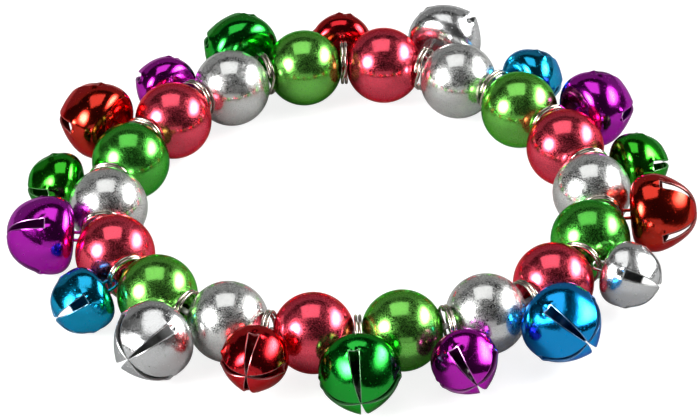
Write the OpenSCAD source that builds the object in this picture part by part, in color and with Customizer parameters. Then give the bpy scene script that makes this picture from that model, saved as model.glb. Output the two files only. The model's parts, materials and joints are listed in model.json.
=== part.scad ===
// Wrist bells: plated beads strung on an elastic cord, with a jingle bell hung on a split ring
// in every gap between two beads. The origin is the middle of the loop, in the plane of the cord.
// The loop lies flat: +Z is up, and the beads touch the surface half a bead below the origin.

/* [Loop] */
// Number of beads, and of bells, on the loop
bead_count = 18; // [18:6:24]
// Cord left between two beads, measured along the cord
string_gap = 1; // [0.8:0.05:1.4]
// How far the resting loop swings out of round, in degrees of its heading
loop_lobe = 6; // [0:0.5:8]
// Diameter of the elastic cord
cord_d = 0.9; // [0.6:0.1:1.2]
// Diameter of the knot that closes the cord
knot_d = 1.6; // [1.3:0.1:1.8]

/* [Beads] */
// Diameter of a bead
bead_d = 12; // [10:0.5:14]
// Diameter of the hole through a bead
bead_bore = 2.2; // [2:0.1:3]
// Depth of the chamfer at the mouth of the hole
bore_chamfer = 0.3; // [0.1:0.05:0.6]

/* [Split rings] */
// Outer diameter of a split ring
ring_od = 7; // [6.5:0.1:8]
// Thickness of the ring's wire
ring_wire = 0.5; // [0.4:0.02:0.6]
// Gap between the two turns of the wire
turn_gap = 0.1; // [0.06:0.02:0.16]
// Room between a ring and the beads beside it
ring_clear = 0.12; // [0.08:0.02:0.2]

/* [Bells] */
// Diameter of a large bell
large_bell_d = 11.9; // [10:0.1:13]
// Diameter of a small bell
small_bell_d = 9.8; // [8:0.1:11]
// Height of a large bell from its widest line to the rim of its dished top
large_crown = 3.5; // [2.8:0.1:4]
// Height of a small bell from its widest line to the rim of its dished top
small_crown = 2.9; // [2.4:0.1:3.4]
// How much further than a half ball the petals reach
petal_rise = 0.6; // [0.1:0.1:1]
// Thickness of the bell's sheet metal
sheet = 0.35; // [0.25:0.05:0.5]
// Depth of the dish round the eye
dish_depth = 0.5; // [0.3:0.05:0.7]
// Width of a slot at its outer end
slot_w = 1.5; // [0.9:0.1:1.8]
// Width of the slots where they cross
slot_tip_w = 0.3; // [0.2:0.1:0.8]
// Distance from the widest line to the end of a slot
slot_start = 1.3; // [0.8:0.1:2.6]
// Thickness of the eye's wire
eye_wire = 0.5; // [0.4:0.05:0.6]
// Inner width of the eye
eye_w = 1.6; // [1.5:0.05:2]
// Height of the eye's round end above the rim of the dish
eye_h = 1.4; // [1.2:0.1:2]

/* [Pellets] */
// Diameter of the pellet in a large bell
large_pellet_d = 4; // [3:0.1:5]
// Diameter of the pellet in a small bell
small_pellet_d = 3.2; // [2.5:0.1:4]
// Room between a pellet and the wall that it lies on
pellet_clear = 0.1; // [0.06:0.02:0.2]

/* [Hidden] */
$fn = 48;
lobes = 3;
first_bead_at = -29;
floor_clear = 0.03;

// Colours run round the loop from the bead at the front left, anticlockwise seen from above
bead_colours = ["silver", "red", "green"];
bell_colours = [
  "silver", "red", "green", "purple", "blue", "silver", "red", "green", "purple",
  "blue", "silver", "red", "green", "purple", "red", "green", "purple", "blue"
];

// How each bell lies: its axis below level, its axis off square to the cord and its slots turned
// from upright, in degrees, and its height above the surface
bell_droop = [-4, -6, 12, 9, 1, 3, -6, 7, 2, 7, 0, 8, 2, 6, -2, 5, -8, 12];
bell_yaw = [-1, 1, 0, 1, -1, 0, 0, 3, 4, -10, -4, 2, 3, -10, -6, 6, -2, 3];
bell_turn = [46, -2, 8, 30, 37, 52, 10, 62, 80, 8, 42, 9, 24, 34, 12, 15, 51, 42];
bell_lift = [0, 2, 0, 0.5, 1, 1.4, 0.8, 0, 0, 0, 0.6, 0, 0, 0, 0.5, 0, 0, 0];

step = 360 / bead_count;
pitch = bead_d + string_gap;
knot_bead = bead_count / 2;
ring_mid_r = (ring_od - ring_wire) / 2;
ring_turn = ring_wire + turn_gap;
ring_thick = ring_wire + ring_turn;
jog_half = 20;
jog_wire = 0.8 * ring_wire;
jog_root = ring_wire / 4;
cord_swell = 0.1;
eye_mid_r = (eye_w + eye_wire) / 2;

// The cord runs straight through each bead and turns a little at each gap
function heading(i) = let (a = first_bead_at + i * step) a - loop_lobe * sin(lobes * a);
function run(i) = i == 0 ? [0, 0] : run(i - 1) + pitch * [cos(heading(i - 1)), sin(heading(i - 1))];
loop_middle = (run(0) + run(bead_count / lobes) + run(2 * bead_count / lobes)) / lobes;
function corner(i) = run(i) - loop_middle;
function half_turn(i) = (heading(i) - heading(i - 1)) / 2;
function gap_heading(i) = heading(i) - half_turn(i);

// A ring's near side sits where the two beads leave room for its thickness, with the cord inside it
function beads_apart(i) = pitch * cos(half_turn(i));
function beads_inside(i) = pitch / 2 * sin(half_turn(i));
function room_across(i) = (beads_apart(i) - ring_thick) / 2 - ring_clear;
function nip_depth(i) = sqrt(max(0, pow(bead_d / 2, 2) - pow(room_across(i), 2)));
function near_side(i) = max(beads_inside(i) + nip_depth(i), (ring_wire + cord_d) / 2 + ring_clear);
function ring_out(i) = ring_mid_r - near_side(i);

// Large and small bells take turns
function is_large(i) = i % 2 == 0;
function bell_r(i) = (is_large(i) ? large_bell_d : small_bell_d) / 2;
function crown(i) = is_large(i) ? large_crown : small_crown;
function pellet_d(i) = is_large(i) ? large_pellet_d : small_pellet_d;
function pick(list, i) = list[i % len(list)];
function droop(i) = pick(bell_droop, i);

// A bell lies on the surface under the beads, or just above it, and its eye slides round the ring to suit
function reach(i) = crown(i) + eye_h;
function drop(i) = bead_d / 2 - bell_r(i) - floor_clear - pick(bell_lift, i);
function ring_dip(i) = asin((drop(i) - reach(i) * sin(droop(i))) / ring_mid_r);
function pellet_off(i) = bell_r(i) - sheet - pellet_d(i) / 2 - pellet_clear;

function bead_name(i) = str(pick(bead_colours, i), "_bead_", i + 1);
function bell_name(i) = str(is_large(i) ? "large_" : "small_", pick(bell_colours, i), "_bell_", i + 1);
function pellet_name(i) = str("pellet_", i + 1);
places = [for (i = [0:bead_count - 1]) i];

// X points out of the loop, Y along the cord
module at_gap(i) {
  translate(corner(i)) rotate(gap_heading(i) - 90) children();
}

// X runs from the middle of the bell to the tips of its petals
module at_bell(i) {
  at_gap(i) translate([ring_out(i), 0, 0])
    rotate([0, ring_dip(i), 0]) translate([ring_mid_r, 0, 0])
      rotate([0, droop(i) - ring_dip(i), 0]) rotate(pick(bell_yaw, i))
        translate([reach(i), 0, 0]) children();
}

// Z runs along the cord, from the corner at one gap to the next
module along_cord(i) {
  translate(corner(i)) rotate([0, 90, heading(i)]) children();
}

module elastic_cord() {
  color("whitesmoke") {
    for (i = places) {
      along_cord(i) cylinder(d = cord_d, h = pitch);
      at_gap(i) sphere(d = cord_d + cord_swell);
    }
    along_cord(knot_bead) translate([0, 0, pitch / 2]) sphere(d = knot_d);
  }
}

module bead(i) {
  mouth = sqrt(pow(bead_d / 2, 2) - pow(bead_bore / 2, 2));
  color(pick(bead_colours, i)) along_cord(i) translate([0, 0, pitch / 2]) difference() {
    sphere(d = bead_d);
    cylinder(d = bead_bore, h = 2 * bead_d, center = true);
    for (side = [0, 180])
      rotate([side, 0, 0]) translate([0, 0, mouth - bore_chamfer])
        cylinder(d1 = bead_bore, d2 = bead_bore + 4 * bore_chamfer, h = 2 * bore_chamfer);
  }
}

// One wire wound into two flat turns, joined by a drawn-down jog on the side next to the cord
module split_ring() {
  jog_x = -ring_mid_r * cos(jog_half);
  jog_y = ring_mid_r * sin(jog_half);
  jog = [0, -2 * jog_y, ring_turn];
  for (side = [-1, 1])
    translate([0, 0, side * ring_turn / 2]) rotate(jog_half - 180)
      rotate_extrude(angle = 360 - 2 * jog_half) translate([ring_mid_r, 0]) circle(d = ring_wire);
  translate([jog_x, jog_y, -ring_turn / 2]) rotate([0, acos(jog.z / norm(jog)), atan2(jog.y, jog.x)])
    translate([0, 0, -jog_root]) cylinder(d = jog_wire, h = norm(jog) + 2 * jog_root);
}

module split_rings() {
  color("lightgray") for (i = places)
    at_gap(i) translate([ring_out(i), 0, 0]) rotate([90, 0, 0]) split_ring();
}

// Half outline of a bell beside its axis, petals up, drawn in from the outside by a depth
module bell_outline(r, crown, depth) {
  point_off = (pow(r + petal_rise, 2) - r * r) / (2 * r);
  rim_r = r - crown;
  dish_r = (rim_r * rim_r + dish_depth * dish_depth) / (2 * dish_depth);
  difference() {
    union() {
      intersection() {
        translate([-point_off, 0]) circle(r + point_off - depth);
        square(2 * r);
      }
      intersection() {
        translate([rim_r, 0]) circle(crown - depth);
        translate([rim_r, -2 * r]) square(2 * r);
      }
      translate([0, depth - crown]) square([rim_r, crown - depth]);
    }
    translate([0, dish_depth - crown - dish_r]) circle(dish_r + depth);
  }
}

// Four slots with square ends that narrow towards the tips of the petals
module bell_slots(r) {
  for (a = [0:90:270]) rotate(a) translate([0, 0, slot_start]) linear_extrude(2 * r)
    polygon([[0, -slot_tip_w / 2], [r, -slot_w / 2], [r, slot_w / 2], [0, slot_tip_w / 2]]);
}

module bell_eye(leg) {
  rotate(90) rotate_extrude(angle = 180) translate([eye_mid_r, 0]) circle(d = eye_wire);
  for (side = [-1, 1])
    translate([0, side * eye_mid_r, 0]) rotate([0, 90, 0]) cylinder(d = eye_wire, h = leg);
}

module bell(i) {
  color(pick(bell_colours, i)) at_bell(i) {
    rotate([pick(bell_turn, i), 0, 0]) rotate([0, 90, 0]) difference() {
      rotate_extrude() difference() {
        bell_outline(bell_r(i), crown(i), 0);
        bell_outline(bell_r(i), crown(i), sheet);
      }
      bell_slots(bell_r(i));
    }
    translate([-reach(i), 0, 0]) bell_eye(eye_h + dish_depth + sheet / 4);
  }
}

module pellet(i) {
  color("gray") at_bell(i) translate([0, 0, -pellet_off(i)]) sphere(d = pellet_d(i));
}

elastic_cord();
split_rings();
for (i = places) {
  bead(i);
  bell(i);
  pellet(i);
}
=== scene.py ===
import json
import math
import random

import bmesh
import bpy
from mathutils import Matrix, Vector


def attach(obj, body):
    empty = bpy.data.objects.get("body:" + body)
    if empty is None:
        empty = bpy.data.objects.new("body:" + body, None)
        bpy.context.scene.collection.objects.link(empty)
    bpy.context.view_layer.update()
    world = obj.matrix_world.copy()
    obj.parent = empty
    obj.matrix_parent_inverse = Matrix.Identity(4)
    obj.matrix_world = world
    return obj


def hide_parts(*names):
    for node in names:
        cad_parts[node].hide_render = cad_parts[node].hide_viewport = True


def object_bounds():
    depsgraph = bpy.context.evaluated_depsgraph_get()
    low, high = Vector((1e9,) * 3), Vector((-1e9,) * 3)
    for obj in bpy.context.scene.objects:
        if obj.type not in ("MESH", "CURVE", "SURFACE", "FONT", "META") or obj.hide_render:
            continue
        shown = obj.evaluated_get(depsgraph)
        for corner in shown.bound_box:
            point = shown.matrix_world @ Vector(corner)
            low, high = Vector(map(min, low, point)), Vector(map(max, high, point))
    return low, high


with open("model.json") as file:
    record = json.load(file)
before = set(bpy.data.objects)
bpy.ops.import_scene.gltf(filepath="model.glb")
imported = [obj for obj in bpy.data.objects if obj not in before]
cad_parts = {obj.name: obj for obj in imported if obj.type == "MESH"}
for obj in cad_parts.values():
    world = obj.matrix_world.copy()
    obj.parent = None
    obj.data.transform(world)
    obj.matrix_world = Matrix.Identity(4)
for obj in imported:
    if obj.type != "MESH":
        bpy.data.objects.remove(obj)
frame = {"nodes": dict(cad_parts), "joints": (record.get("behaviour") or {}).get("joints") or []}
cad_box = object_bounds()

# The elastic cord: a clear stretch cord about a millimetre thick, drawn through every bead and ring.
# It runs straight through a bead, turns a little in each gap, and is knotted inside one bead's hole.
MM = 0.001
UP = Vector((0, 0, 1))
COUNT = 18
PITCH = 13 * MM
CORD_D = 0.9 * MM
CORD_SIDES = 16
CORD_BEND = 1.6 * MM
BEND_STEPS = 5
KNOT_D = 1.6 * MM
KNOT_BEAD = 10
KNOT_STEPS = 8
CORD_HAZE = 0.8 * MM
SAME_PLACE = 0.01 * MM
joints = {j["name"]: j for j in frame["joints"]}
bead_spins = [joints[f"bead_{n}_spin"] for n in range(1, COUNT + 1)]
bead_middles = [Vector(j["pos_m"]) for j in bead_spins]
bead_headings = [Vector(j["axis"]) for j in bead_spins]


def linear(hex_colour):
    """An sRGB hex colour as linear RGBA"""
    parts = [int(hex_colour[i:i + 2], 16) / 255 for i in (1, 3, 5)]
    return [p / 12.92 if p <= 0.04045 else ((p + 0.055) / 1.055) ** 2.4 for p in parts] + [1]


def add_node(tree, kind, inputs=None, **settings):
    """A new node with these settings, whose inputs are set to values or linked to other nodes' outputs"""
    made = tree.nodes.new(kind)
    for name, value in settings.items():
        setattr(made, name, value)
    for name, value in (inputs or {}).items():
        if isinstance(value, bpy.types.NodeSocket):
            tree.links.new(value, made.inputs[name])
        else:
            made.inputs[name].default_value = value
    return made


def new_material(name):
    """A material with an empty node tree, and that tree"""
    material = bpy.data.materials.new(name)
    material.use_nodes = True
    material.node_tree.nodes.clear()
    return material, material.node_tree


def new_piece(name, bm, material, body, replaced, sharp_deg=35):
    """A smooth mesh from bm that stands for a CAD node and rides on its body"""
    mesh = bpy.data.meshes.new(name)
    bm.to_mesh(mesh)
    bm.free()
    mesh.shade_smooth()
    mesh.set_sharp_from_angle(angle=math.radians(sharp_deg))
    mesh.materials.append(material)
    piece = bpy.data.objects.new(name, mesh)
    bpy.context.scene.collection.objects.link(piece)
    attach(piece, body)
    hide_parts(replaced)
    return piece


def axes_at(x, y, z, at):
    """The matrix that lays a piece's own axes along x, y and z, with its origin at a point"""
    return Matrix.Translation(at) @ Matrix((x, y, z)).transposed().to_4x4()


def edges_of(geometry):
    """The edges among what an operator made"""
    return [g for g in geometry if isinstance(g, bmesh.types.BMEdge)]


def verts_of(geometry):
    """The vertices among what an operator made"""
    return [g for g in geometry if isinstance(g, bmesh.types.BMVert)]


def turn_between(a, b):
    """The angle from one level direction to another, anticlockwise seen from above"""
    return math.atan2(a.x * b.y - a.y * b.x, a.dot(b))


def clear_polyurethane():
    # Thermoplastic polyurethane, extruded: see-through and a little milky, with a soft gloss
    material, tree = new_material("clear_polyurethane")
    place = add_node(tree, "ShaderNodeTexCoord").outputs["Object"]
    haze = add_node(tree, "ShaderNodeTexNoise", {"Vector": place, "Scale": 1 / CORD_HAZE, "Detail": 2})
    rough = add_node(tree, "ShaderNodeMapRange", {
        "Value": haze.outputs["Fac"], "To Min": 0.12, "To Max": 0.3})
    shader = add_node(tree, "ShaderNodeBsdfPrincipled", {
        "Base Color": linear("#F1F0EA"), "Roughness": rough.outputs[0], "IOR": 1.5,
        "Transmission Weight": 0.6})
    add_node(tree, "ShaderNodeOutputMaterial", {"Surface": shader.outputs[0]})
    return material


turns = [turn_between(h, bead_headings[(i + 1) % COUNT]) for i, h in enumerate(bead_headings)]
bend_lengths = [CORD_BEND * math.tan(t / 2) for t in turns]
cord = bmesh.new()
first = bead_headings[0]
cord_start = bead_middles[0] - first * (PITCH / 2 - bend_lengths[-1])
bmesh.ops.create_circle(
    cord, segments=CORD_SIDES, radius=CORD_D / 2, matrix=axes_at(UP.cross(first), UP, first, cord_start))
section = cord.edges[:]
for i, heading in enumerate(bead_headings):
    run = PITCH - bend_lengths[i - 1] - bend_lengths[i]
    lengths = [run]
    swells = [1]
    if i + 1 == KNOT_BEAD:
        # the knot is a short swelling of the cord, half way through the bead
        plain = (run - KNOT_D) / 2
        lengths = [plain] + [KNOT_D / KNOT_STEPS] * KNOT_STEPS + [plain]
        humps = [math.sin(math.pi * k / KNOT_STEPS) for k in range(KNOT_STEPS + 1)]
        bulge = [1 + (KNOT_D / CORD_D - 1) * hump for hump in humps]
        swells = [b / a for a, b in zip([1] + bulge, bulge + [1])]
    middle = bead_middles[i] - heading * (PITCH / 2 - bend_lengths[i - 1])
    for length, swell in zip(lengths, swells):
        made = bmesh.ops.extrude_edge_only(cord, edges=section)["geom"]
        section = edges_of(made)
        middle = middle + heading * length
        bmesh.ops.translate(cord, verts=verts_of(made), vec=heading * length)
        bmesh.ops.scale(cord, verts=verts_of(made), vec=(swell,) * 3, space=Matrix.Translation(-middle))
    made = bmesh.ops.spin(
        cord, geom=section, cent=middle + UP.cross(heading) * CORD_BEND, axis=UP, angle=turns[i],
        steps=BEND_STEPS)
    section = edges_of(made["geom_last"])
bmesh.ops.remove_doubles(cord, verts=cord.verts, dist=SAME_PLACE)
bmesh.ops.recalc_face_normals(cord, faces=cord.faces)
new_piece("stretch_cord", cord, clear_polyurethane(), "strung_loop", "elastic_cord")

# The beads: 12 mm moulded plastic balls, drilled through, with a bright metal film and a tinted lacquer.
# They take turns silver, red and green along the cord, and two of the green ones were dyed a shade deeper.
BEAD_R = 6 * MM
BORE_R = 1.1 * MM
BORE_HALF = 5.6 * MM
LIP_R = 1.52 * MM
LIP_BEVEL = 0.12 * MM
BEAD_ROUND = 112
BEAD_ARC = 56
SEAM = 0.002 * MM
DEEPER_BEADS = (6, 15)

# Each film's colour, and how rough its haziest patches are
BEAD_FILMS = {
    "silver": ("#E2E3E1", 0.42),
    "red": ("#FB546A", 0.34),
    "green": ("#7BD158", 0.34),
    "deeper_green": ("#59C548", 0.34),
}
FILM_PEEL = 0.25 * MM
FILM_PEEL_RISE = 0.005 * MM
FILM_GRAIN = 0.1 * MM
FILM_CLOUD = 1.5 * MM
FILM_CLOUD_SHARE = 0.3
FILM_DUST = 0.3 * MM
FILM_DUST_ROUGH = 0.25
FILM_DUST_DIM = 0.75


def line_to(bm, vertex, x, z):
    """Carries a profile on from its last vertex, straight to a point"""
    made = bmesh.ops.extrude_vert_indiv(bm, verts=[vertex])["verts"][0]
    made.co = (x, 0, z)
    return made


def arc_about(bm, vertex, x, z, angle, steps):
    """Carries a profile on from its last vertex, round a centre: a positive angle turns from Z to X"""
    made = bmesh.ops.spin(bm, geom=[vertex], cent=(x, 0, z), axis=(0, 1, 0), angle=angle, steps=steps)
    return verts_of(made["geom_last"])[0]


def plated_film(name, colour, haziest):
    # Vacuum-metallised polystyrene under tinted lacquer: a bright mirror, softened by a fine orange peel
    # and by specks of dust that were sealed in. The peel is drawn coarser than life, so that it shows.
    material, tree = new_material(name)
    place = add_node(tree, "ShaderNodeTexCoord").outputs["Object"]
    peel = add_node(tree, "ShaderNodeTexNoise", {"Vector": place, "Scale": 1 / FILM_PEEL, "Detail": 2})
    bump = add_node(tree, "ShaderNodeBump", {
        "Height": peel.outputs["Fac"], "Strength": 1, "Distance": FILM_PEEL_RISE})
    grain = add_node(tree, "ShaderNodeTexNoise", {"Vector": place, "Scale": 1 / FILM_GRAIN, "Detail": 1})
    cloud = add_node(tree, "ShaderNodeTexNoise", {"Vector": place, "Scale": 1 / FILM_CLOUD, "Detail": 3})
    uneven = add_node(tree, "ShaderNodeMath", {
        0: cloud.outputs["Fac"], 1: FILM_CLOUD_SHARE, 2: grain.outputs["Fac"]}, operation="MULTIPLY_ADD")
    haze = add_node(tree, "ShaderNodeMapRange", {
        "Value": uneven.outputs[0], "From Min": 0.58, "From Max": 0.74, "To Min": 0.08, "To Max": haziest})
    dust = add_node(tree, "ShaderNodeTexNoise", {"Vector": place, "Scale": 1 / FILM_DUST, "Detail": 1})
    speck = add_node(tree, "ShaderNodeMapRange", {
        "Value": dust.outputs["Fac"], "From Min": 0.68, "From Max": 0.76}).outputs[0]
    rough = add_node(tree, "ShaderNodeMath", {
        0: speck, 1: FILM_DUST_ROUGH, 2: haze.outputs[0]}, operation="MULTIPLY_ADD")
    dusty = [c * FILM_DUST_DIM for c in linear(colour)[:3]] + [1]
    tint = add_node(tree, "ShaderNodeMix", {0: speck, 6: linear(colour), 7: dusty}, data_type="RGBA")
    shader = add_node(tree, "ShaderNodeBsdfPrincipled", {
        "Base Color": tint.outputs[2], "Metallic": 1, "Roughness": rough.outputs[0],
        "Specular Tint": linear(colour), "Normal": bump.outputs[0],
        "Coat Weight": 0.26, "Coat Roughness": 0.06})
    add_node(tree, "ShaderNodeOutputMaterial", {"Surface": shader.outputs[0]})
    return material


bead = bmesh.new()
bore_end = bead.verts.new((BORE_R, 0, -BORE_HALF))
tip = line_to(bead, bore_end, BORE_R, BORE_HALF)
tip = line_to(bead, tip, LIP_R, math.sqrt(BEAD_R ** 2 - LIP_R ** 2))
tip = arc_about(bead, tip, 0, 0, math.pi - 2 * math.asin(LIP_R / BEAD_R), BEAD_ARC)
line_to(bead, tip, BORE_R, -BORE_HALF)
bmesh.ops.spin(bead, geom=bead.verts[:] + bead.edges[:], cent=(0, 0, 0), axis=UP, angle=math.tau,
               steps=BEAD_ROUND, use_merge=True)
bmesh.ops.remove_doubles(bead, verts=bead.verts, dist=SEAM)
lip_edges = [e for e in bead.edges if all(abs(v.co.xy.length - LIP_R) < SAME_PLACE for v in e.verts)]
bmesh.ops.bevel(bead, geom=lip_edges, offset=LIP_BEVEL, offset_type="OFFSET", segments=2, profile=0.5,
                affect="EDGES", material=-1)
bmesh.ops.recalc_face_normals(bead, faces=bead.faces)
bead_films = {name: plated_film(f"{name}_metallised_bead", *film) for name, film in BEAD_FILMS.items()}
for i, heading in enumerate(bead_headings):
    node = bead_spins[i]["child"]
    colour = node.split("_")[0]
    film = f"deeper_{colour}" if i + 1 in DEEPER_BEADS else colour
    strung = bead.copy()
    bmesh.ops.transform(
        strung, verts=strung.verts, matrix=axes_at(UP.cross(heading), UP, heading, bead_middles[i]))
    new_piece(f"plated_{node}", strung, bead_films[film], node, node)
bead.free()

# The split rings: nickel-plated steel wire wound into two close turns, one ring in each gap.
# A jog on the cord's side joins the turns, and the wire's two cut ends lie beside it.
RING_R = 3.25 * MM
RING_WIRE = 0.5 * MM
RING_STEP = 0.6 * MM
JOG = math.radians(40)
JOG_STEPS = 10
RING_TURN = math.tau - JOG
RING_TURN_STEPS = 64
WIRE_SIDES = 14
DRAW_LINES = 0.25 * MM
DRAW_LINES_RISE = 0.004 * MM
bell_swings = [joints[f"bell_{n}_swing"] for n in range(1, COUNT + 1)]


def gap_axes(swing):
    """A gap's own axes, out of the loop, along the cord and up, with their origin at the ring's middle"""
    along = -Vector(swing["axis"])
    return axes_at(along.cross(UP), along, UP, Vector(swing["pos_m"]))


def add_copy(bm, shape, place):
    """Adds a copy of another bmesh to bm, moved by a matrix"""
    mesh = bpy.data.meshes.new("copy")
    shape.to_mesh(mesh)
    mesh.transform(place)
    bm.from_mesh(mesh)
    bpy.data.meshes.remove(mesh)


def nickel_wire():
    # Nickel-plated steel wire, drawn and barrel-polished: bright, slightly warm, with faint draw lines
    material, tree = new_material("nickel_plated_wire")
    place = add_node(tree, "ShaderNodeTexCoord").outputs["Object"]
    lines = add_node(tree, "ShaderNodeTexNoise", {"Vector": place, "Scale": 1 / DRAW_LINES, "Detail": 3})
    rough = add_node(tree, "ShaderNodeMapRange", {
        "Value": lines.outputs["Fac"], "From Min": 0.3, "From Max": 0.7, "To Min": 0.12, "To Max": 0.26})
    bump = add_node(tree, "ShaderNodeBump", {
        "Height": lines.outputs["Fac"], "Strength": 1, "Distance": DRAW_LINES_RISE})
    shader = add_node(tree, "ShaderNodeBsdfPrincipled", {
        "Base Color": linear("#CBC1B4"), "Metallic": 1, "Roughness": rough.outputs[0],
        "Normal": bump.outputs[0]})
    add_node(tree, "ShaderNodeOutputMaterial", {"Surface": shader.outputs[0]})
    return material


ring = bmesh.new()
wire_start = Matrix.Rotation(JOG / 2, 4, "Z") @ Matrix.Translation((RING_R, 0, RING_STEP / 2))
bmesh.ops.create_circle(ring, cap_ends=True, segments=WIRE_SIDES, radius=RING_WIRE / 2,
                        matrix=wire_start @ Matrix.Rotation(math.pi / 2, 4, "X"))
level_turn = (RING_TURN, 0, RING_TURN_STEPS)
wire_end = ring.faces[:]
for angle, drop, steps in (level_turn, (JOG, RING_STEP, JOG_STEPS), level_turn):
    wire_end = bmesh.ops.spin(ring, geom=wire_end, cent=(0, 0, 0), axis=UP, angle=angle, steps=steps,
                              dvec=(0, 0, -drop / steps))["geom_last"]
bmesh.ops.remove_doubles(ring, verts=ring.verts, dist=SEAM)
bmesh.ops.recalc_face_normals(ring, faces=ring.faces)
rings = bmesh.new()
stand_up = Matrix.Rotation(math.pi / 2, 4, "X")
jog_to_cord = Matrix.Rotation(math.pi, 4, "Z")
for swing in bell_swings:
    add_copy(rings, ring, gap_axes(swing) @ stand_up @ jog_to_cord)
ring.free()
new_piece("nickel_split_rings", rings, nickel_wire(), "strung_loop", "split_rings")

# The jingle bells: pressed from thin steel sheet, nickel-plated and dipped in coloured lacquer.
# A rounded shoulder with a dished top carries a wire eye, and four petals fold in to a point, with tapering
# slots between them. The two sizes were dipped apart, so their colours differ a little.
BELL_SIZES = {
    "large": {"r": 5.95 * MM, "crown": 3.5 * MM, "tip": 6.4 * MM},
    "small": {"r": 4.9 * MM, "crown": 2.9 * MM, "tip": 5.37 * MM},
}
SHEET = 0.35 * MM
DISH = 0.5 * MM
DISH_STEPS = 8
SHOULDER_FULL = 2.5
SHOULDER_STEPS = 20
PETALS = 4
PETAL_ANGLE = math.tau / PETALS
PETAL_FULL = 2.4
PETAL_FOOT_STEPS = 6
PETAL_ROWS = 32
PETAL_COLUMNS = 18
COLUMN_EASE = 1.5
SLOT_W = 1.5 * MM
SLOT_TIP_W = 0.12 * MM
SLOT_START = 1.3 * MM
SLOT_COLUMNS = 4
TIP_GAP = 0.17 * MM
EYE_WIRE = 0.5 * MM
EYE_R = 1.05 * MM
EYE_H = 1.4 * MM
EYE_SUNK = SHEET / 4
EYE_STEPS = 20
FLOOR_CLEAR = 0.03 * MM

# How the press shapes a petal: how flat it is across at its tip, how far it is bent, how its edge is rolled
# in, and the ears and the dent at a slot's end
PETAL_FLAT = 0.65
PETAL_EASE = 1.5
PETAL_BEND = 0.08 * MM
PETAL_BEND_RISE = 0.4
PETAL_BEND_SEED = 7
EDGE_ROLL = 0.08 * MM
EAR_RISE = 0.2 * MM
EAR_WIDE = 0.5 * MM
EAR_OFF = 0.12 * MM
DENT = 0.2 * MM
DENT_WIDE = 0.4 * MM
DENT_OFF = 0.35 * MM

# The lacquer's colour on the large and on the small bells, how rough its haziest patches are, and the level
# of its pattern up to which it stays clear
LACQUERS = {
    "silver": ("#E2E3E3", "#E2E3E3", 0.27, 0.61),
    "red": ("#D6301E", "#D61C27", 0.18, 0.7),
    "green": ("#1BAE34", "#30B41E", 0.18, 0.7),
    "purple": ("#CA22CA", "#CA22C4", 0.18, 0.7),
    "blue": ("#0CA0EC", "#12AEE0", 0.22, 0.7),
}
SHEET_WAVE = 3 * MM
SHEET_WAVE_RISE = 0.07 * MM
LACQUER_GRAIN = 0.2 * MM
LACQUER_GRAIN_RISE = 0.008 * MM
LACQUER_CLOUD = 2 * MM
LACQUER_CLOUD_SHARE = 0.6
LACQUER_DUST = 0.35 * MM
CLEAR_TO_HAZY = 0.25
EDGE_ROUGH = 0.25
EDGE_TINT = 0.6
EDGE_STEEL = 0.32
INSIDE_ROUGH = 0.4
# How far the inside's colour is darkened: painted shade in the bell's hollow
INSIDE_PAINTED_SHADE = 0.55

# How each bell lies: its axis below level, off square to the cord and its slots turned from upright,
# in degrees, and its height above the surface in millimetres
BELL_DROOP = [-4, -6, 12, 9, 1, 3, -6, 7, 2, 7, 0, 8, 2, 6, -2, 5, -8, 12]
BELL_YAW = [-1, 1, 0, 1, -1, 0, 0, 3, 4, -10, -4, 2, 3, -10, -6, 6, -2, 3]
BELL_TURN = [46, -2, 8, 30, 37, 52, 10, 62, 80, 8, 42, 9, 24, 34, 12, 15, 51, 42]
BELL_LIFT = [0, 2, 0, 0.5, 1, 1.4, 0.8, 0, 0, 0, 0.6, 0, 0, 0, 0.5, 0, 0, 0]


def slot_half(wide, r):
    """Half a slot's width, at a distance from the bell's axis"""
    return (SLOT_TIP_W + (SLOT_W - SLOT_TIP_W) * wide / r) / 2


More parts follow.
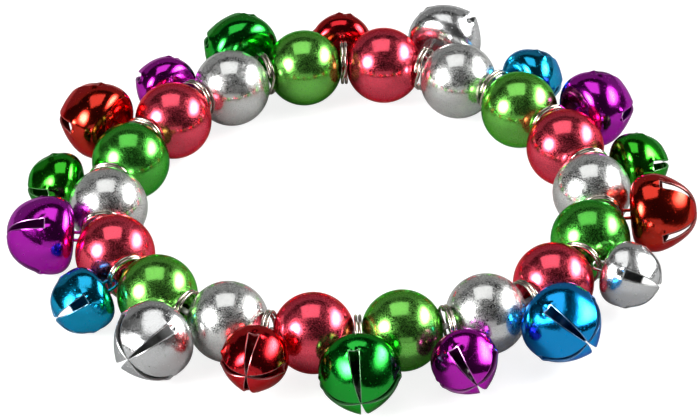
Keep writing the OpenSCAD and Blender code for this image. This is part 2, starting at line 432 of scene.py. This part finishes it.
def bell_shell(r, crown, tip):
    """The thin outer skin of a bell, petals up, with its slots on the X and Y axes"""
    bm = bmesh.new()
    bm.verts.layers.float.new("cut_edge")
    bm.verts.layers.float.new("inside")
    rim_r = r - crown
    dish_r = (rim_r ** 2 + DISH ** 2) / (2 * DISH)
    petal_off = (tip ** 2 - r ** 2) / (2 * r)
    petal_r = r + petal_off
    slot_angle = math.asin(SLOT_START / petal_r)
    tip_angle = math.acos((petal_off + TIP_GAP) / petal_r)
    end = bm.verts.new((0, 0, DISH - crown))
    end = arc_about(bm, end, 0, DISH - crown - dish_r, math.asin(rim_r / dish_r), DISH_STEPS)
    end = arc_about(bm, end, rim_r, 0, -math.pi / 2, SHOULDER_STEPS)
    slot_foot = arc_about(bm, end, -petal_off, 0, -slot_angle, PETAL_FOOT_STEPS)
    arc_about(bm, slot_foot, -petal_off, 0, slot_angle - tip_angle, PETAL_ROWS)
    # the shoulder and the petals are a little fuller than an arc
    for v in bm.verts:
        out = (v.co.x - rim_r) / crown
        down = -v.co.z / crown
        if v.co.z > 0:
            v.co *= ((v.co.x / r) ** PETAL_FULL + (v.co.z / tip) ** PETAL_FULL) ** (-1 / PETAL_FULL)
        elif out > 0 and down > 0:
            fuller = (out ** SHOULDER_FULL + down ** SHOULDER_FULL) ** (-1 / SHOULDER_FULL)
            v.co = (rim_r + crown * out * fuller, 0, -crown * down * fuller)
    slot_wide = slot_foot.co.x
    # half a petal's share of the bell is turned, first the strip that holds half a slot, then the rest
    half_share = PETAL_ANGLE / 2
    strip = math.asin(slot_half(slot_wide, r) / slot_wide)
    made = bmesh.ops.spin(
        bm, geom=bm.verts[:] + bm.edges[:], cent=(0, 0, 0), axis=UP, angle=strip, steps=SLOT_COLUMNS)
    slot = [f for f in bm.faces if f.calc_center_median().z > SLOT_START]
    bmesh.ops.spin(bm, geom=made["geom_last"], cent=(0, 0, 0), axis=UP, angle=half_share - strip,
                   steps=PETAL_COLUMNS)
    bmesh.ops.delete(bm, geom=slot, context="FACES")
    # the petal's columns are gathered towards the slot, and its edge is drawn in along the slot's taper
    for v in bm.verts:
        wide = v.co.xy.length
        if v.co.z > SLOT_START - SEAM and wide > SEAM:
            edge = math.asin(slot_half(wide, r) / wide)
            past_strip = math.atan2(v.co.y, v.co.x) - strip
            if past_strip * wide > -SEAM:
                share = max(past_strip / (half_share - strip), 0)
                around = edge + share ** COLUMN_EASE * (half_share - edge)
                v.co.xy = wide * Vector((math.cos(around), math.sin(around)))
    bmesh.ops.mirror(bm, geom=bm.verts[:] + bm.edges[:] + bm.faces[:], axis="Y", merge_dist=SEAM)
    bmesh.ops.spin(bm, geom=bm.verts[:] + bm.edges[:] + bm.faces[:], cent=(0, 0, 0), axis=UP,
                   angle=math.tau - PETAL_ANGLE, steps=PETALS - 1, use_duplicate=True)
    bmesh.ops.remove_doubles(bm, verts=bm.verts, dist=SEAM)
    bmesh.ops.recalc_face_normals(bm, faces=bm.faces)
    return bm


def press_petals(bm, r, tip, bends):
    """Flattens and bends the petals, rolls in their edges, and raises the ears beside the slots"""
    cut_edge = bm.verts.layers.float["cut_edge"]
    half_share = PETAL_ANGLE / 2
    bm.normal_update()
    moves = {}
    for v in bm.verts:
        around = math.atan2(v.co.y, v.co.x)
        from_slot = (around + half_share) % PETAL_ANGLE - half_share
        from_petal = around % PETAL_ANGLE - half_share
        rise = min(max(v.co.z / tip, 0), 1)
        wide = v.co.xy.length
        side = abs(wide * math.sin(from_slot))
        behind = SLOT_START - v.co.z
        square = math.cos(half_share) / math.cos(from_petal)
        flat = PETAL_FLAT * math.sin(rise * math.pi / 2) ** PETAL_EASE
        move = Vector((v.co.x, v.co.y, 0)) * (square - 1) * flat
        bend = bends[int((around % math.tau) // PETAL_ANGLE)]
        move += Vector((math.cos(around), math.sin(around), PETAL_BEND_RISE)) * bend * rise ** 2
        ear = math.exp(-((side - SLOT_W / 2 - EAR_OFF) / EAR_WIDE) ** 2 - (behind / EAR_WIDE) ** 2)
        dent = math.exp(-(side / DENT_WIDE) ** 2 - ((behind - DENT_OFF) / EAR_WIDE) ** 2)
        to_edge = math.hypot(max(side - slot_half(wide, r), 0), max(behind, 0))
        roll = math.exp(-(to_edge / EDGE_ROLL) ** 2)
        v[cut_edge] = roll if behind < EAR_WIDE else 0
        moves[v] = move + v.normal * (EAR_RISE * ear - DENT * dent - EDGE_ROLL * roll)
    for v, move in moves.items():
        v.co += move


def wire_eye(crown):
    """A staple of wire whose legs end in the dish's sheet, with its round end clear of the rim"""
    leg = EYE_H + DISH + EYE_SUNK
    eye = bmesh.new()
    bmesh.ops.create_circle(eye, cap_ends=True, segments=WIRE_SIDES, radius=EYE_WIRE / 2,
                            matrix=Matrix.Translation((EYE_R, 0, leg)))
    made = bmesh.ops.extrude_face_region(eye, geom=eye.faces[:])["geom"]
    bmesh.ops.translate(eye, verts=verts_of(made), vec=(0, 0, -leg))
    bent = bmesh.ops.spin(
        eye, geom=made, cent=(0, 0, 0), axis=(0, 1, 0), angle=math.pi, steps=EYE_STEPS)["geom_last"]
    made = bmesh.ops.extrude_face_region(eye, geom=bent)["geom"]
    bmesh.ops.translate(eye, verts=verts_of(made), vec=(0, 0, leg))
    bmesh.ops.remove_doubles(eye, verts=eye.verts, dist=SEAM)
    bmesh.ops.recalc_face_normals(eye, faces=eye.faces)
    bmesh.ops.translate(eye, verts=eye.verts, vec=(0, 0, -crown - EYE_H))
    return eye


def lacquered_steel(name, colour, haziest, clear_to):
    # Nickel-plated steel sheet under transparent coloured lacquer: a mirror, a little wavy from the press,
    # grainy and dusty where the lacquer dried, paler on the cut edges, and rougher inside, where the colour
    # is also darkened as painted shade. The grain is drawn coarser than life, so that it shows.
    material, tree = new_material(name)
    place = add_node(tree, "ShaderNodeTexCoord").outputs["Object"]
    wave = add_node(tree, "ShaderNodeTexNoise", {"Vector": place, "Scale": 1 / SHEET_WAVE, "Detail": 1})
    swell = add_node(tree, "ShaderNodeBump", {
        "Height": wave.outputs["Fac"], "Strength": 1, "Distance": SHEET_WAVE_RISE})
    grain = add_node(tree, "ShaderNodeTexNoise", {"Vector": place, "Scale": 1 / LACQUER_GRAIN, "Detail": 1})
    bump = add_node(tree, "ShaderNodeBump", {
        "Height": grain.outputs["Fac"], "Strength": 1, "Distance": LACQUER_GRAIN_RISE,
        "Normal": swell.outputs[0]})
    edge = add_node(tree, "ShaderNodeAttribute", attribute_name="cut_edge").outputs["Fac"]
    inside = add_node(tree, "ShaderNodeAttribute", attribute_name="inside").outputs["Fac"]
    cloud = add_node(tree, "ShaderNodeTexNoise", {"Vector": place, "Scale": 1 / LACQUER_CLOUD, "Detail": 3})
    uneven = add_node(tree, "ShaderNodeMath", {
        0: cloud.outputs["Fac"], 1: LACQUER_CLOUD_SHARE, 2: grain.outputs["Fac"]}, operation="MULTIPLY_ADD")
    haze = add_node(tree, "ShaderNodeMapRange", {
        "Value": uneven.outputs[0], "From Min": clear_to, "From Max": clear_to + CLEAR_TO_HAZY,
        "To Min": 0.1, "To Max": haziest})
    dust = add_node(tree, "ShaderNodeTexNoise", {"Vector": place, "Scale": 1 / LACQUER_DUST, "Detail": 1})
    speck = add_node(tree, "ShaderNodeMapRange", {
        "Value": dust.outputs["Fac"], "From Min": 0.69, "From Max": 0.76, "To Max": 0.28})
    dusty = add_node(tree, "ShaderNodeMath", {0: speck.outputs[0], 1: haze.outputs[0]}, operation="ADD")
    worn = add_node(tree, "ShaderNodeMath", {
        0: edge, 1: EDGE_ROUGH, 2: dusty.outputs[0]}, operation="MULTIPLY_ADD")
    rough = add_node(tree, "ShaderNodeMath", {
        0: inside, 1: INSIDE_ROUGH, 2: worn.outputs[0]}, operation="MULTIPLY_ADD")
    paler = [EDGE_TINT * c + EDGE_STEEL for c in linear(colour)[:3]] + [1]
    # the inside takes a darker copy of the colour: painted shade in the hollow
    painted_shade_colour = [INSIDE_PAINTED_SHADE * c for c in linear(colour)[:3]] + [1]
    tint = add_node(tree, "ShaderNodeMix", {0: edge, 6: linear(colour), 7: paler}, data_type="RGBA")
    tint = add_node(tree, "ShaderNodeMix", {0: inside, 6: tint.outputs[2], 7: painted_shade_colour}, data_type="RGBA")
    shader = add_node(tree, "ShaderNodeBsdfPrincipled", {
        "Base Color": tint.outputs[2], "Metallic": 1, "Roughness": rough.outputs[0],
        "Specular Tint": linear(colour), "Normal": bump.outputs[0],
        "Coat Weight": 0.3, "Coat Roughness": 0.03})
    add_node(tree, "ShaderNodeOutputMaterial", {"Surface": shader.outputs[0]})
    return material


def bell_axes(i, size):
    """Where a bell hangs on its ring: X along its axis to the petals, Y along the cord"""
    reach = size["crown"] + EYE_H
    droop = math.radians(BELL_DROOP[i])
    drop = BEAD_R - size["r"] - FLOOR_CLEAR - BELL_LIFT[i] * MM
    dip = math.asin((drop - reach * math.sin(droop)) / RING_R)
    on_ring = gap_axes(bell_swings[i]) @ Matrix.Rotation(dip, 4, "Y") @ Matrix.Translation((RING_R, 0, 0))
    hung = Matrix.Rotation(droop - dip, 4, "Y") @ Matrix.Rotation(math.radians(BELL_YAW[i]), 4, "Z")
    return on_ring @ hung @ Matrix.Translation((reach, 0, 0))


lacquers = {}
for colour, (large, small, haziest, clear_to) in LACQUERS.items():
    for size_name, dye in (("large", large), ("small", small)):
        dipped = f"{size_name}_{colour}"
        lacquers[dipped] = lacquered_steel(f"{dipped}_lacquered_steel", dye, haziest, clear_to)
petal_play = random.Random(PETAL_BEND_SEED)
for i, swing in enumerate(bell_swings):
    node = swing["child"]
    size_name, colour = node.split("_")[:2]
    size = BELL_SIZES[size_name]
    shell = bell_shell(**size)
    bends = [petal_play.uniform(-PETAL_BEND, PETAL_BEND) for _ in range(PETALS)]
    press_petals(shell, size["r"], size["tip"], bends)
    bmesh.ops.recalc_face_normals(shell, faces=shell.faces)
    outside = set(shell.verts)
    bmesh.ops.solidify(shell, geom=shell.faces, thickness=SHEET)
    inside = shell.verts.layers.float["inside"]
    for v in set(shell.verts) - outside:
        v[inside] = 1
    petals_out = Matrix.Rotation(math.pi / 2, 4, "Y")
    slots_turned = Matrix.Rotation(math.radians(BELL_TURN[i]), 4, "X")
    bmesh.ops.transform(shell, verts=shell.verts, matrix=slots_turned @ petals_out)
    eye = wire_eye(size["crown"])
    add_copy(shell, eye, petals_out @ Matrix.Rotation(math.pi / 2, 4, "Z"))
    eye.free()
    bmesh.ops.transform(shell, verts=shell.verts, matrix=bell_axes(i, size))
    # an ear on the underside is pressed flat where the bell lies on the surface
    for v in shell.verts:
        v.co.z = max(v.co.z, FLOOR_CLEAR - BEAD_R)
    bell = new_piece(
        f"lacquered_{node}", shell, lacquers[f"{size_name}_{colour}"], node, node,
        sharp_deg=60)
    bell.modifiers.new("even_normals", "WEIGHTED_NORMAL").keep_sharp = True

# The pellets: small balls of steel shot, one loose in each bell. They are dropped in before the petals are
# folded, can't pass the slots, and strike the wall as the bell is shaken.
SHOT_GRAIN = 0.2 * MM
SHOT_GRAIN_RISE = 0.006 * MM


def tumbled_steel():
    # Plain carbon steel shot, tumbled: grey, dull, with a fine even grain
    material, tree = new_material("tumbled_steel_shot")
    place = add_node(tree, "ShaderNodeTexCoord").outputs["Object"]
    grain = add_node(tree, "ShaderNodeTexNoise", {"Vector": place, "Scale": 1 / SHOT_GRAIN, "Detail": 3})
    rough = add_node(tree, "ShaderNodeMapRange", {
        "Value": grain.outputs["Fac"], "From Min": 0.3, "From Max": 0.7, "To Min": 0.25, "To Max": 0.45})
    bump = add_node(tree, "ShaderNodeBump", {
        "Height": grain.outputs["Fac"], "Strength": 1, "Distance": SHOT_GRAIN_RISE})
    shader = add_node(tree, "ShaderNodeBsdfPrincipled", {
        "Base Color": linear("#8E8D8B"), "Metallic": 1, "Roughness": rough.outputs[0],
        "Normal": bump.outputs[0]})
    add_node(tree, "ShaderNodeOutputMaterial", {"Surface": shader.outputs[0]})
    return material


steel = tumbled_steel()
for n in range(1, COUNT + 1):
    pellet = frame["nodes"][f"pellet_{n}"]
    pellet.data.materials.clear()
    pellet.data.materials.append(steel)

# The studio: a white sweep under the loop, dark walls, an overhead softbox, a lamp on each side and faint
# cards in front and behind. The sweep and the sky are white to the eye, and the dark walls show only in
# the bright metal.
FLOOR_HALF = 4
LAMP_M = 1.2
LAMP_FALL = 2.1

# The watts that give a flat lamp of one square metre a radiance of 1
LAMP_WATTS = 4

# What the sweep glows besides the light it takes, and how bright the sky is
SWEEP_SEEN = 0.84
SWEEP_IN_METAL = 0.05
SKY_SEEN = 1
SKY_IN_METAL = 0.023
SKY_LIGHT = 0.15

# Where the photograph has the loop, and where it was taken from
PICTURE_PX = (700, 418)
LOOP_MIDDLE_PX = (350.7, 197.4)
LOOP_PX_PER_MM = 6.576
SENSOR_MM = 36
CAMERA_M = 0.655
CAMERA_ELEVATION = math.radians(33.92)
CAMERA_ROLL = math.radians(-1.21)


def white_sweep():
    # Matt white card: it takes soft shadows, and it is lit white to the eye and through the clear cord
    material, tree = new_material("white_sweep")
    ray = add_node(tree, "ShaderNodeLightPath")
    card = add_node(tree, "ShaderNodeBsdfDiffuse", {"Color": linear("#999999")})
    seen = add_node(tree, "ShaderNodeMath", {
        0: ray.outputs["Is Camera Ray"], 1: ray.outputs["Is Transmission Ray"]}, operation="MAXIMUM")
    seen = add_node(tree, "ShaderNodeMath", {0: seen.outputs[0], 1: SWEEP_SEEN}, operation="MULTIPLY")
    lit = add_node(tree, "ShaderNodeMath", {
        0: ray.outputs["Is Glossy Ray"], 1: SWEEP_IN_METAL, 2: seen.outputs[0]}, operation="MULTIPLY_ADD")
    glow = add_node(tree, "ShaderNodeEmission", {"Color": linear("#FFFFFF"), "Strength": lit.outputs[0]})
    both = add_node(tree, "ShaderNodeAddShader", {0: card.outputs[0], 1: glow.outputs[0]})
    add_node(tree, "ShaderNodeOutputMaterial", {"Surface": both.outputs[0]})
    return material


def panel_lamp(name, toward, across, width, height, radiance, soft=False):
    """A flat lamp that faces the loop: an evenly lit box, or a rounded cloth that is lit from its middle"""
    light = bpy.data.lights.new(name, "AREA")
    light.shape = "ELLIPSE" if soft else "RECTANGLE"
    light.size = width
    light.size_y = height
    area = width * height * (math.pi / 4 if soft else 1)
    light.energy = LAMP_WATTS * radiance * area
    if soft:
        light.use_nodes = True
        cloth = light.node_tree
        place = add_node(cloth, "ShaderNodeNewGeometry").outputs["Parametric"]
        off = add_node(cloth, "ShaderNodeVectorMath", {0: place, 1: (0.5, 0.5, 0)}, operation="DISTANCE")
        fade = add_node(cloth, "ShaderNodeMapRange", {
            "Value": off.outputs["Value"], "From Min": 0.5, "From Max": 0},
            interpolation_type="SMOOTHERSTEP")
        hot = add_node(cloth, "ShaderNodeMath", {0: fade.outputs[0], 1: LAMP_FALL}, operation="POWER")
        cloth.links.new(hot.outputs[0], cloth.nodes["Emission"].inputs["Strength"])
    z = Vector(toward).normalized()
    x = (Vector(across) - z * z.dot(Vector(across))).normalized()
    lamp = bpy.data.objects.new(name, light)
    lamp.matrix_world = axes_at(x, z.cross(x), z, z * LAMP_M)
    bpy.context.scene.collection.objects.link(lamp)


ground = bmesh.new()
bmesh.ops.create_grid(ground, x_segments=1, y_segments=1, size=FLOOR_HALF,
                      matrix=Matrix.Translation((0, 0, cad_box[0].z)))
sweep_mesh = bpy.data.meshes.new("white_sweep")
ground.to_mesh(sweep_mesh)
ground.free()
sweep_mesh.materials.append(white_sweep())
sweep = bpy.data.objects.new("white_sweep", sweep_mesh)
bpy.context.scene.collection.objects.link(sweep)

panel_lamp("overhead_softbox", toward=(-0.1, 0.17, 0.98), across=(1, 0, 0), width=0.95, height=0.95,
           radiance=0.94)
panel_lamp("left_lamp", toward=(-0.787, -0.409, 0.47), across=(0, 1, 0), width=1.3, height=1.3,
           radiance=24, soft=True)
panel_lamp("right_lamp", toward=(0.82, 0.15, 0.5), across=(0, 1, 0), width=2.1, height=1.1,
           radiance=16, soft=True)
panel_lamp("front_card", toward=(0, -1, 0.13), across=(1, 0, 0), width=1.2, height=0.3, radiance=0.35)
panel_lamp("back_wall", toward=(0, 0.94, 0.34), across=(1, 0, 0), width=3.2, height=0.8, radiance=0.16)

world = bpy.data.worlds.new("studio")
world.use_nodes = True
studio = world.node_tree
studio.nodes.clear()
ray = add_node(studio, "ShaderNodeLightPath")
wall = add_node(studio, "ShaderNodeMath", {
    0: ray.outputs["Is Glossy Ray"], 1: SKY_IN_METAL - SKY_LIGHT, 2: SKY_LIGHT}, operation="MULTIPLY_ADD")
sky = add_node(studio, "ShaderNodeMath", {
    0: ray.outputs["Is Camera Ray"], 1: SKY_SEEN - SKY_LIGHT, 2: wall.outputs[0]}, operation="MULTIPLY_ADD")
shade = add_node(studio, "ShaderNodeBackground", {"Color": linear("#FFFFFF"), "Strength": sky.outputs[0]})
add_node(studio, "ShaderNodeOutputWorld", {"Surface": shade.outputs[0]})
bpy.context.scene.world = world

camera_data = bpy.data.cameras.new("camera")
camera_data.sensor_width = SENSOR_MM
camera_data.lens = SENSOR_MM * LOOP_PX_PER_MM * CAMERA_M / MM / PICTURE_PX[0]
camera_data.shift_x = (PICTURE_PX[0] / 2 - LOOP_MIDDLE_PX[0]) / PICTURE_PX[0]
camera_data.shift_y = (LOOP_MIDDLE_PX[1] - PICTURE_PX[1] / 2) / PICTURE_PX[0]
camera = bpy.data.objects.new("camera", camera_data)
tilt = Matrix.Rotation(math.pi / 2 - CAMERA_ELEVATION, 4, "X")
camera.matrix_world = tilt @ Matrix.Translation((0, 0, CAMERA_M)) @ Matrix.Rotation(CAMERA_ROLL, 4, "Z")
bpy.context.scene.collection.objects.link(camera)
bpy.context.scene.camera = camera
bpy.context.scene.view_settings.view_transform = "Standard"
